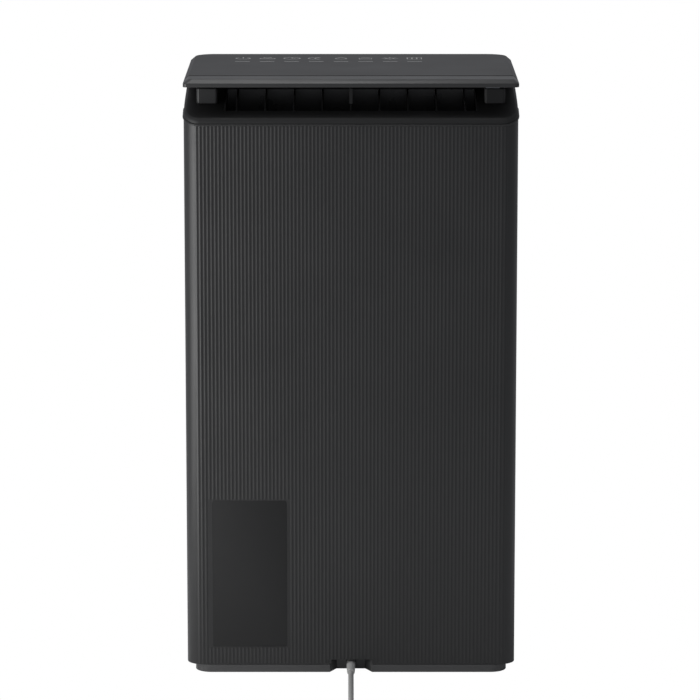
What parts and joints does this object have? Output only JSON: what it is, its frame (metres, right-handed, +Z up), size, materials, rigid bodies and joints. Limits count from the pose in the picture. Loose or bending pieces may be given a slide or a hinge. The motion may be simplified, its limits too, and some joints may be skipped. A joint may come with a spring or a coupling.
{
  "type": "air purifier",
  "caption": "Upright box air purifier: ribbed rear cover, rear top outlet under a hinged louver flap, pull-off front panel with filters, centrifugal fan and a mains lead.",
  "frame": {"origin": "centre of the body's footprint on the floor, without the mains lead", "axes": "+Z up, -Y towards the ribbed rear face and the mains lead, +Y towards the front panel, +X to the right seen from the rear"},
  "size_m": [0.4, 0.5798, 0.728],
  "materials": {
    "case": "satin moulded ABS",
    "inner_black": "matte moulded",
    "rubber": "matte",
    "zinc_steel": "zinc plated",
    "motor_shell": "galvanised",
    "cream_plastic": "matte",
    "circuit_board": "solder mask",
    "cord_jacket": "satin PVC",
    "tie": "matte",
    "plated_brass": "plated",
    "mesh": "woven",
    "filter_media": "paper fibre",
    "carbon": "granular"
  },
  "bodies": {
    "housing": {"base_pan": "case", "rubber_feet": "rubber", "base_screws": "zinc_steel", "rear_cover": "case", "side_panel_left": "case", "side_panel_right": "case", "top_frame": "inner_black", "outlet_grille": "inner_black", "duct": "inner_black", "hinge_block_left": "case", "hinge_block_right": "case", "centre_strut": "case", "louver_motor": "motor_shell", "lid": "case", "control_board": "circuit_board", "touch_electrodes": "zinc_steel", "scroll_rear": "inner_black", "scroll_front": "inner_black", "inlet_grille": "inner_black", "filter_tray": "inner_black", "motor_bracket": "zinc_steel", "motor_bushes": "rubber", "fan_motor": "motor_shell", "ioniser": "cream_plastic", "electronics_box": "cream_plastic", "main_board": "circuit_board", "dust_sensor": "inner_black", "panel_catches": "zinc_steel", "strain_relief": "cord_jacket", "power_cord": "cord_jacket", "cord_coil": "cord_jacket", "cord_tail": "cord_jacket", "cord_tie": "tie", "plug": "cord_jacket", "plug_blades": "plated_brass"},
    "louver": {"louver_flap": "case", "hinge_pin_left": "zinc_steel", "hinge_pin_centre": "zinc_steel"},
    "rotor": {"impeller": "inner_black", "motor_shaft": "zinc_steel", "hub_nut": "zinc_steel"},
    "panel": {"front_panel": "case", "panel_hooks": "inner_black"},
    "prefilter": {"prefilter_frame": "inner_black", "prefilter_mesh": "mesh"},
    "filter": {"filter_frame": "filter_media", "hepa_pleats": "filter_media", "carbon_filter": "carbon", "filter_pull_tabs": "filter_media"}
  },
  "joints": [
    {"name": "louver_hinge", "type": "hinge", "parent": "housing", "child": "louver", "pos_m": [0, -0.097, 0.721], "axis": [1, 0, 0], "range_deg": [0, 46]},
    {"name": "fan_spin", "type": "hinge", "parent": "housing", "child": "rotor", "pos_m": [-0.012, -0.05, 0.33], "axis": [0, 1, 0], "continuous": true},
    {"name": "panel_pull", "type": "slide", "parent": "housing", "child": "panel", "axis": [0, 1, 0], "range_m": [0, 0.3]},
    {"name": "prefilter_pull", "type": "slide", "parent": "housing", "child": "prefilter", "axis": [0, 1, 0], "range_m": [0, 0.21]},
    {"name": "filter_pull", "type": "slide", "parent": "housing", "child": "filter", "axis": [0, 1, 0], "range_m": [0, 0.135]}
  ],
  "couplings": [
    {"joint": "prefilter_pull", "follows": "panel_pull", "ratio": 0.7},
    {"joint": "filter_pull", "follows": "panel_pull", "ratio": 0.45}
  ]
}
